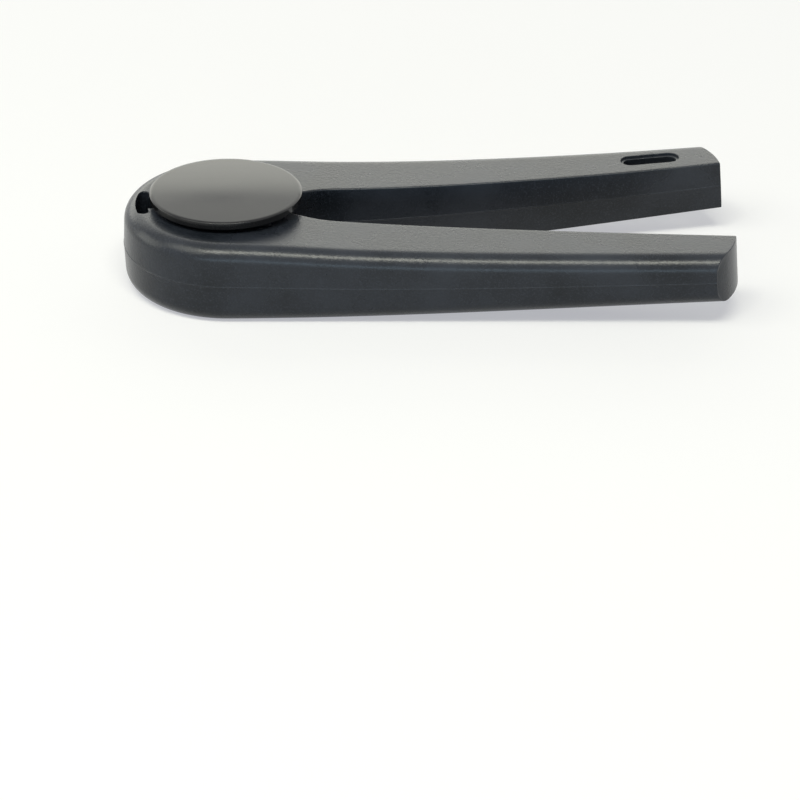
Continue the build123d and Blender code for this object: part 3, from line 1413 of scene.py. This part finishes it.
@dataclass
class GripPads:
    """The two grooved pads in the socket.

    Attributes:
        wardrobe: Gives the pads their finish.
        inner_radius: Radius of the ridges' crests.
        outer_radius: Radius of the socket's wall.
        height: Height of the pads.
        slit_half: Half the slit's width at the handles' side.
        neck_half: Half the neck's width at the far end.
        end_gap: How far the pads stop short of both.
        groove_width: Width of a groove.
        groove_depth: Its depth.
        groove_spacing: From one groove to the next, along the crests.
        lead: Rounding of the lower inner edge, where the socket opens.
        flank: Width of a groove's soft flank.
        top_break: Width of the break on the upper inner edge.
        wall_gap: Gap to the socket's wall.
        turn_steps: Stations round the socket's axis.
        section_points: Points of the section's rounding, inner wall and outer wall.
    """

    wardrobe: Wardrobe
    inner_radius: float = 15.0
    outer_radius: float = 16.6
    height: float = 9.4
    slit_half: float = 4.0
    neck_half: float = 2.6
    end_gap: float = 0.6
    groove_width: float = 1.2
    groove_depth: float = 0.6
    groove_spacing: float = 3.4
    lead: float = 0.5
    flank: float = 0.22
    top_break: float = 0.12
    wall_gap: float = 0.01
    turn_steps: int = 760
    section_points: tuple[int, int, int] = (6, 6, 5)

    def pad(self, side: Side) -> bpy.types.Object:
        """Builds one pad.

        Its section is carried round the socket's axis. At each angle the inner wall's radius is
        the crests' radius plus the groove's depth, which comes and goes along soft flanks.

        Args:
            side: Which lever's pad.

        Returns:
            The pad, closed at both ends.
        """
        first = np.arcsin((self.slit_half + self.end_gap) / self.inner_radius)
        last = np.pi - np.arcsin((self.neck_half + self.end_gap) / self.inner_radius)
        step = self.groove_spacing / self.inner_radius
        count = int((last - first) / step) - 1
        angle = np.linspace(first, last, self.turn_steps)
        middle = (first + last) / 2
        place = (angle - middle) / step + (count - 1) / 2
        nearest = np.clip(np.round(place), 0, count - 1)
        off = np.abs(place - nearest) * self.groove_spacing
        groove = 1 - np.clip((off - self.groove_width / 2 + self.flank / 2) / self.flank, 0, 1)
        groove = self.groove_depth * groove**2 * (3 - 2 * groove)
        lead_points, wall_points, outer_points = self.section_points
        turn = np.linspace(0, np.pi / 2, lead_points)
        lead_out = self.lead * (1 - np.sin(turn))
        lead_up = self.lead * (1 - np.cos(turn))
        wall_z = np.linspace(self.lead, self.height - self.top_break, wall_points)[1:]
        inner_out = np.concatenate([lead_out, np.zeros(len(wall_z)), [self.top_break]])
        inner_z = np.concatenate([lead_up, wall_z, [self.height]])
        radius = self.inner_radius + inner_out[None, :] + groove[:, None]
        outer_z = np.linspace(self.height, 0, outer_points)
        outer = np.full((len(angle), len(outer_z)), self.outer_radius - self.wall_gap)
        radius = np.concatenate([radius, outer], axis=1)
        z = np.broadcast_to(np.concatenate([inner_z, outer_z]), radius.shape)
        x, y = radius * np.cos(angle)[:, None], radius * np.sin(angle)[:, None] * side.value
        return tube(f"{side.name.lower()}_pad_ribs", np.stack([x, y, z], axis=-1))

    def build(self) -> None:
        """Builds both pads, each riding on its lever."""
        for side in Side:
            piece = self.pad(side)
            shade(piece, TURNED_SHARP_OVER)
            self.wardrobe.dress(piece, SOFT_GRIP)
            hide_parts(f"{side.name.lower()}_grip_pad")
            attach(piece, side.body)
            report(piece)


@dataclass
class Ejector:
    """The push button, its foot and the screw that joins them.

    Attributes:
        wardrobe: Gives the pieces their finish.
        radius: The button's radius.
        underside: Height of the button's underside.
        thickness: Thickness at the rim.
        crown: How far the middle stands over the rim.
        bevel_width: Width of the shallow bevel inside the rim.
        bevel_drop: How far it falls.
        rim_radius: Rounding of the rim.
        under_radius: Rounding of its lower edge.
        seat_radius: Radius of the step that centres the spring.
        seat_depth: Its depth.
        seat_slope: How much wider it is at its root.
        seat_edge: Rounding of its edges.
        stem_radius: Radius of the stem.
        stem_root: Rounding where it meets the step.
        stem_edge: Rounding of its end.
        stem_foot: Height of its lower end.
        bore_radius: Radius of the screw's hole.
        bore_top: Height where the hole ends.
        foot_radius: Radius of the foot.
        foot_underside: Height of its underside.
        recess_radius: Radius of the recess for the screw's head.
        recess_depth: Its depth.
        recess_edges: Roundings of its floor and of its mouth.
        foot_edges: Roundings of the foot's lower and upper edges.
        face_inset: How far the foot's lower face ends inside its edge.
        face_slope: Width of the slope round that face.
        face_drop: How far the face stands below the foot's edge.
        face_edge: Rounding at both ends of that slope.
        dome_points: Points of the dome's profile.
        button_steps: Steps round the button.
    """

    wardrobe: Wardrobe
    radius: float = 17.1
    underside: float = 19.3
    thickness: float = 1.75
    crown: float = 0.35
    bevel_width: float = 0.45
    bevel_drop: float = 0.16
    rim_radius: float = 0.25
    under_radius: float = 0.25
    seat_radius: float = 5.4
    seat_depth: float = 1.6
    seat_slope: float = 0.3
    seat_edge: float = 0.2
    stem_radius: float = 2.6
    stem_root: float = 0.3
    stem_edge: float = 0.15
    stem_foot: float = 12.55
    bore_radius: float = 1.3
    bore_top: float = 17.35
    foot_radius: float = 12.0
    foot_underside: float = 9.95
    recess_radius: float = 2.5
    recess_depth: float = 1.4
    recess_edges: tuple[float, float] = (0.15, 0.2)
    foot_edges: tuple[float, float] = (0.5, 0.4)
    face_inset: float = 1.6
    face_slope: float = 0.4
    face_drop: float = 0.18
    face_edge: float = 0.3
    dome_points: int = 48
    button_steps: int = 256

    def button(self) -> bpy.types.Object:
        """Builds the button: a shallow dome, a bevel and a rounded rim on a hollow stem.

        The dome's height falls with the square of the radius from the crown to the bevel.

        Returns:
            The turned button.
        """
        rim_top = self.underside + self.thickness
        dome_edge = self.radius - self.bevel_width
        r = np.linspace(0, dome_edge, self.dome_points)
        dome = np.stack([r, rim_top + self.crown * (1 - (r / self.radius) ** 2)], axis=1)
        under, seat = self.underside, self.underside - self.seat_depth
        rest = rounded_outline(
            [
                (dome_edge, float(dome[-1, 1]), 0.0),
                (self.radius, rim_top - self.bevel_drop, self.rim_radius),
                (self.radius, under, self.under_radius),
                (self.seat_radius + self.seat_slope, under, self.seat_edge),
                (self.seat_radius, seat, self.seat_edge),
                (self.stem_radius, seat, self.stem_root),
                (self.stem_radius, self.stem_foot, self.stem_edge),
                (self.bore_radius, self.stem_foot, 0.0),
                (self.bore_radius, self.bore_top, 0.0),
                (0.0, self.bore_top, 0.0),
            ]
        )
        return lathe("button_cap", np.concatenate([dome[:-1], rest]), self.button_steps)

    def foot(self) -> bpy.types.Object:
        """Builds the foot: a round plate with rounded edges and a recess for the screw's head.

        Returns:
            The turned plate.
        """
        under, recess = self.foot_underside, self.foot_underside + self.recess_depth
        edge, face = under + self.face_drop, self.foot_radius - self.face_inset
        outline = rounded_outline(
            [
                (self.bore_radius, recess, 0.0),
                (self.recess_radius, recess, self.recess_edges[0]),
                (self.recess_radius, under, self.recess_edges[1]),
                (face, under, self.face_edge),
                (face + self.face_slope, edge, self.face_edge),
                (self.foot_radius, edge, self.foot_edges[0]),
                (self.foot_radius, self.stem_foot, self.foot_edges[1]),
                (self.bore_radius, self.stem_foot, 0.0),
            ]
        )
        return lathe("foot_plate", outline)

    def build(self) -> None:
        """Builds the button and foot, and dresses the screw where it stands."""
        for piece, name in ((self.button(), "push_button"), (self.foot(), "ejector_foot")):
            shade(piece, TURNED_SHARP_OVER)
            self.wardrobe.dress(piece, POLISHED_BLACK)
            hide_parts(name)
            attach(piece, "ejector")
            report(piece)
        self.wardrobe.dress_node("foot_screw", PLATED_SCREW)


@dataclass
class ReturnSpring:
    """The spring under the button and the washer that it stands on.

    Attributes:
        wardrobe: Gives the pieces their finish.
        coil_radius: The coil's mean radius.
        wire_radius: The wire's radius.
        turns: Number of turns.
        washer_inner: The washer's inner radius.
        washer_outer: Its outer radius.
        washer_underside: Height of its underside.
        washer_top: Height of its top, where the coil stands.
        washer_edge: Rounding of its edges.
        button_underside: Height where the coil ends.
        travel_kept: The spring's height with the button pressed, as a share; not used.
        coil_steps: Points along the coil's centreline.
        wire_steps: Points round the wire.
        end_bulge: How far the wire's ends bulge, as a share of the wire's radius.
        end_angles: Degrees from the wire's side to its end's middle.
    """

    wardrobe: Wardrobe
    coil_radius: float = 6.6
    wire_radius: float = 0.35
    turns: float = 2.25
    washer_inner: float = 3.2
    washer_outer: float = 8.4
    washer_underside: float = 15.05
    washer_top: float = 15.65
    washer_edge: float = 0.12
    button_underside: float = 19.3
    travel_kept: float = 0.767
    coil_steps: int = 240
    wire_steps: int = 20
    end_bulge: float = 0.4
    end_angles: tuple[float, ...] = (20, 45, 70, 90)

    def coil(self) -> bpy.types.Object:
        """Builds the coil.

        The centreline is a helix, and the wire's circle stands across it: a point is the
        centreline plus the wire's radius times the cosine along the radius and the sine along
        the line square to both.

        Returns:
            The coil, with domed wire ends.
        """
        rise = self.button_underside - self.washer_top - 2 * self.wire_radius
        angle = np.linspace(0, 2 * np.pi * self.turns, self.coil_steps)
        out = np.stack([np.cos(angle), np.sin(angle), np.zeros_like(angle)], axis=1)
        pitch = rise / angle[-1]
        line = self.coil_radius * out
        line[:, 2] = self.washer_top + self.wire_radius + pitch * angle
        ahead_x, ahead_y = -self.coil_radius * np.sin(angle), self.coil_radius * np.cos(angle)
        ahead = unit(np.stack([ahead_x, ahead_y, np.full_like(angle, pitch)], axis=1))
        up = np.cross(out, ahead)
        around = np.linspace(0, 2 * np.pi, self.wire_steps, endpoint=False)[None, :, None]
        ring = np.cos(around) * out[:, None, :] + np.sin(around) * up[:, None, :]
        dome = np.radians(self.end_angles)
        size = np.concatenate([np.cos(dome[::-1]), np.ones(len(angle)), np.cos(dome)])
        shift = np.concatenate([-np.sin(dome[::-1]), np.zeros(len(angle)), np.sin(dome)])
        first, last = np.zeros(len(dome), int), np.full(len(dome), len(angle) - 1)
        pick = np.concatenate([first, np.arange(len(angle)), last])
        points = (
            line[pick][:, None, :]
            + ring[pick] * (self.wire_radius * size)[:, None, None]
            + ahead[pick][:, None, :] * (self.wire_radius * shift * self.end_bulge)[:, None, None]
        )
        faces = grid_faces(len(pick), self.wire_steps, closed_columns=True)
        return mesh_object("return_coil", [(points.reshape(-1, 3), faces)])

    def washer(self) -> bpy.types.Object:
        """Builds the flat washer with softened edges.

        Returns:
            The turned washer.
        """
        inner, outer, edge = self.washer_inner, self.washer_outer, self.washer_edge
        under, top = self.washer_underside, self.washer_top
        corners = [(inner, under), (outer, under), (outer, top), (inner, top)]
        return lathe("slide_washer", rounded_outline([(*corner, edge) for corner in corners]))

    def build(self) -> None:
        """Builds the washer and the spring."""
        washer, coil = self.washer(), self.coil()
        for piece, finish, name in (
            (washer, NATURAL_WASHER, "spring_washer"),
            (coil, SPRING_WIRE, "return_spring"),
        ):
            shade(piece, TURNED_SHARP_OVER)
            self.wardrobe.dress(piece, finish)
            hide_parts(name)
            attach(piece, "hinge")
            report(piece)
        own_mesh(coil)


# The studio


class Tint(Enum):
    """The lamps' two colours."""

    WARM = (1.0, 1.0, 0.87)
    COOL = (0.60, 0.84, 1.0)


@dataclass(frozen=True)
class Softbox:
    """A rectangular lamp that faces the object.

    Attributes:
        name: The lamp's name.
        towards: Degrees round from +Y and degrees up, where it hangs.
        distance: Metres from the object.
        size: Its width and height in metres.
        radiance: Its brightness; its power is pi times the brightness times its area.
        tint: Its colour.
    """

    name: str
    towards: tuple[float, float]
    distance: float
    size: tuple[float, float]
    radiance: float
    tint: Tint = Tint.WARM

    def hang(self, aim: Vector) -> None:
        """Hangs the lamp.

        Args:
            aim: The point that it faces, in metres.
        """
        data = bpy.data.lights.new(self.name, "AREA")
        data.shape = "RECTANGLE"
        data.size, data.size_y = self.size
        data.energy = np.pi * self.radiance * self.size[0] * self.size[1]
        data.color = self.tint.value
        made = bpy.data.objects.new(self.name, data)
        a, e = np.radians(self.towards)
        away = Vector((np.sin(a) * np.cos(e), np.cos(a) * np.cos(e), np.sin(e)))
        place = away * self.distance
        made.location = aim + place
        made.rotation_euler = place.to_track_quat("Z", "Y").to_euler()
        bpy.context.collection.objects.link(made)


SOFTBOXES = (
    Softbox("back_low", (0, 17), 1.6, (2.8, 0.5), 2.0),
    Softbox("back_high", (0, 37), 1.6, (2.4, 0.55), 0.8),
    Softbox("front_softbox", (186, 63), 1.6, (1.1, 0.36), 14.5),
    Softbox("left_front", (240, 50), 1.6, (1.0, 0.9), 3.0),
    Softbox("left_side", (-80, 14), 1.6, (0.9, 0.9), 2.0),
    Softbox("right_side", (72, 25), 1.6, (1.1, 0.8), 0.6),
    Softbox("front_strip", (180, 6), 1.8, (2.4, 0.3), 3.2, Tint.COOL),
)


@dataclass
class Studio:
    """Floor, lights and camera.

    Attributes:
        distance: From the camera to the plane of the socket's axis, in millimetres.
        azimuth: Degrees that the camera stands to the side of straight in front.
        elevation: Degrees that it looks down.
        roll: Degrees that the picture is turned.
        origin_pixel: Where the frame's origin falls in the 800 by 800 picture.
        pixels_per_mm: Scale of the picture at that distance.
        picture: Width of the picture in pixels.
        sensor: Width of the camera's sensor in millimetres.
        clip: Nearest and furthest distance that the camera sees, in metres.
        aim: The point that the lamps face, in metres.
        surround_colour: Colour of the world.
        surround_light: Strength of the world as light.
        floor_half: Half the floor's width in millimetres.
        floor_height: Its height in millimetres, just under the head.
        floor_grey: Its own brightness under the lamps.
        floor_tint: Colour of the lift for rays that see it.
        floor_lift: Strength of that lift.
        floor_roughness: Its roughness.
    """

    distance: float = 971.7
    azimuth: float = -1.575
    elevation: float = 28.0
    roll: float = -0.1123
    origin_pixel: tuple[float, float] = (227.7, 274.6)
    pixels_per_mm: float = 4.43
    picture: float = 800.0
    sensor: float = 36.0
    clip: tuple[float, float] = (0.05, 50.0)
    aim: tuple[float, float, float] = (0.045, 0.0, 0.01)
    surround_colour: Colour = (0.97, 0.98, 1.0)
    surround_light: float = 0.10
    floor_half: float = 2000.0
    floor_height: float = -0.02
    floor_grey: float = 0.50
    floor_tint: Colour = (0.93, 0.94, 1.0)
    floor_lift: float = 0.46
    floor_roughness: float = 0.9

    def camera(self) -> None:
        """Stands the camera so that the frame's origin falls on its pixel without any shift."""
        a, e, r = np.radians([self.azimuth, self.elevation, self.roll])
        back = np.array([np.sin(a) * np.cos(e), -np.cos(a) * np.cos(e), np.sin(e)])
        level = np.array([np.cos(a), np.sin(a), 0.0])
        rise = np.cross(back, level)
        right = level * np.cos(r) + rise * np.sin(r)
        up = rise * np.cos(r) - level * np.sin(r)
        offset = (np.array(self.origin_pixel) - self.picture / 2) / self.pixels_per_mm
        eye = (back * self.distance - right * offset[0] + up * offset[1]) * MM
        data = bpy.data.cameras.new("product_camera")
        data.sensor_width = self.sensor
        data.lens = self.pixels_per_mm * self.distance / self.picture * self.sensor
        data.clip_start, data.clip_end = self.clip
        made = bpy.data.objects.new("product_camera", data)
        turn = Matrix([right, up, back]).transposed()
        made.matrix_world = Matrix.Translation(Vector(eye)) @ turn.to_4x4()
        bpy.context.collection.objects.link(made)
        bpy.context.scene.camera = made

    def world(self) -> None:
        """Sets a white surround for the camera and reflections and a dimmer one for the light."""
        world = bpy.data.worlds.new("white_surround")
        bpy.context.scene.world = world
        world.use_nodes = True
        tree = world.node_tree
        surround = tree.nodes["Background"]
        surround.inputs["Color"].default_value = (*self.surround_colour, 1.0)
        strength = node(tree, "MapRange", To_Min=self.surround_light, To_Max=1.0)
        wire(
            tree,
            (seen_straight(tree), 0, strength, "Value"),
            (strength, "Result", surround, "Strength"),
        )

    def floor(self) -> None:
        """Lays the pale floor just under the head, with a lift for rays that see it."""
        signs = np.array([[-1, -1], [1, -1], [1, 1], [-1, 1]])
        height = np.full(len(signs), self.floor_height)
        corners = np.column_stack([signs * self.floor_half, height])
        piece = mesh_object("studio_floor", [(corners, np.array([[0, 1, 2, 3]]))])
        material = bpy.data.materials.new("pale_floor")
        material.use_nodes = True
        tree = material.node_tree
        shader = tree.nodes["Principled BSDF"]
        shader.inputs["Base Color"].default_value = (*[self.floor_grey] * 3, 1.0)
        shader.inputs["Roughness"].default_value = self.floor_roughness
        shader.inputs["Specular IOR Level"].default_value = 0.0
        shader.inputs["Emission Color"].default_value = (*self.floor_tint, 1.0)
        lift = scaled(tree, self.floor_lift)
        wire(tree, (seen_straight(tree), 0, lift, 0), (lift, 0, shader, "Emission Strength"))
        piece.data.materials.append(material)

    def build(self) -> None:
        """Sets up the whole studio."""
        bpy.context.scene.view_settings.view_transform = "Standard"
        self.camera()
        for softbox in SOFTBOXES:
            softbox.hang(Vector(self.aim))
        self.world()
        self.floor()


def main() -> None:
    """Builds and dresses every piece, then the studio round them."""
    wardrobe = Wardrobe()
    Tongs(wardrobe).build()
    GripPads(wardrobe).build()
    Ejector(wardrobe).build()
    ReturnSpring(wardrobe).build()
    Studio().build()


if __name__ == "__main__":
    main()
